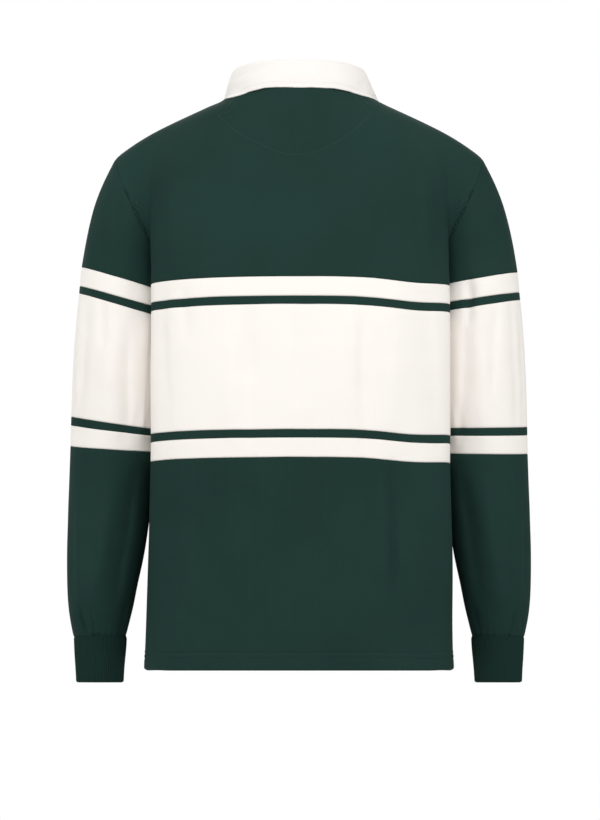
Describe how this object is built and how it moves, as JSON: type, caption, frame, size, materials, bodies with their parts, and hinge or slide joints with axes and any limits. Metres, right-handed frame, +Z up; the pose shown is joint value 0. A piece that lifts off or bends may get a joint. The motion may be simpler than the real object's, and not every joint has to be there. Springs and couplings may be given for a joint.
{
  "type": "long-sleeved rugby shirt",
  "caption": "Long-sleeved rugby shirt in heavy cotton jersey, filled out as worn, with chest bands, a turn-down collar, a buttoned placket and ribbed cuffs.",
  "frame": {"origin": "base of the neck, midway between the shoulders, where a wearer's shoulders carry the shirt", "axes": "+Z up, -Y the way the front of the shirt faces, +X towards the wearer's left sleeve"},
  "size_m": [0.5814, 0.2668, 0.7711],
  "materials": {
    "back_hem_block": "matt cotton jersey",
    "back_lower_band": "matt cotton jersey",
    "back_lower_stripe": "matt cotton jersey",
    "back_chest_block": "matt cotton jersey",
    "back_upper_stripe": "matt cotton jersey",
    "back_upper_band": "matt cotton jersey",
    "back_shoulder": "matt cotton jersey",
    "front_hem_block": "matt cotton jersey",
    "front_lower_band": "matt cotton jersey",
    "front_lower_stripe": "matt cotton jersey",
    "front_chest_block": "matt cotton jersey",
    "front_upper_stripe": "matt cotton jersey",
    "front_upper_band": "matt cotton jersey",
    "front_shoulder": "matt cotton jersey",
    "sleeve_left_cap": "matt cotton jersey",
    "sleeve_left_upper_band": "matt cotton jersey",
    "sleeve_left_upper_stripe": "matt cotton jersey",
    "sleeve_left_chest_block": "matt cotton jersey",
    "sleeve_left_lower_stripe": "matt cotton jersey",
    "sleeve_left_lower_band": "matt cotton jersey",
    "sleeve_left_forearm": "matt cotton jersey",
    "cuff_left": "matt ribbed knit",
    "sleeve_right_cap": "matt cotton jersey",
    "sleeve_right_upper_band": "matt cotton jersey",
    "sleeve_right_upper_stripe": "matt cotton jersey",
    "sleeve_right_chest_block": "matt cotton jersey",
    "sleeve_right_lower_stripe": "matt cotton jersey",
    "sleeve_right_lower_band": "matt cotton jersey",
    "sleeve_right_forearm": "matt cotton jersey",
    "cuff_right": "matt ribbed knit",
    "collar_stand": "matt cotton twill",
    "collar_fall": "matt cotton twill",
    "placket_front": "matt cotton twill",
    "placket_behind": "matt cotton twill",
    "button_1": "satin",
    "button_2": "satin",
    "button_3": "satin"
  },
  "bodies": {
    "root": {"back_hem_block": "back_hem_block", "back_lower_band": "back_lower_band", "back_lower_stripe": "back_lower_stripe", "back_chest_block": "back_chest_block", "back_upper_stripe": "back_upper_stripe", "back_upper_band": "back_upper_band", "back_shoulder": "back_shoulder", "front_hem_block": "front_hem_block", "front_lower_band": "front_lower_band", "front_lower_stripe": "front_lower_stripe", "front_chest_block": "front_chest_block", "front_upper_stripe": "front_upper_stripe", "front_upper_band": "front_upper_band", "front_shoulder": "front_shoulder", "sleeve_left_cap": "sleeve_left_cap", "sleeve_left_upper_band": "sleeve_left_upper_band", "sleeve_left_upper_stripe": "sleeve_left_upper_stripe", "sleeve_left_chest_block": "sleeve_left_chest_block", "sleeve_left_lower_stripe": "sleeve_left_lower_stripe", "sleeve_left_lower_band": "sleeve_left_lower_band", "sleeve_left_forearm": "sleeve_left_forearm", "cuff_left": "cuff_left", "sleeve_right_cap": "sleeve_right_cap", "sleeve_right_upper_band": "sleeve_right_upper_band", "sleeve_right_upper_stripe": "sleeve_right_upper_stripe", "sleeve_right_chest_block": "sleeve_right_chest_block", "sleeve_right_lower_stripe": "sleeve_right_lower_stripe", "sleeve_right_lower_band": "sleeve_right_lower_band", "sleeve_right_forearm": "sleeve_right_forearm", "cuff_right": "cuff_right", "collar_stand": "collar_stand", "collar_fall": "collar_fall", "placket_front": "placket_front", "placket_behind": "placket_behind", "button_1": "button_1", "button_2": "button_2", "button_3": "button_3"}
  },
  "joints": []
}
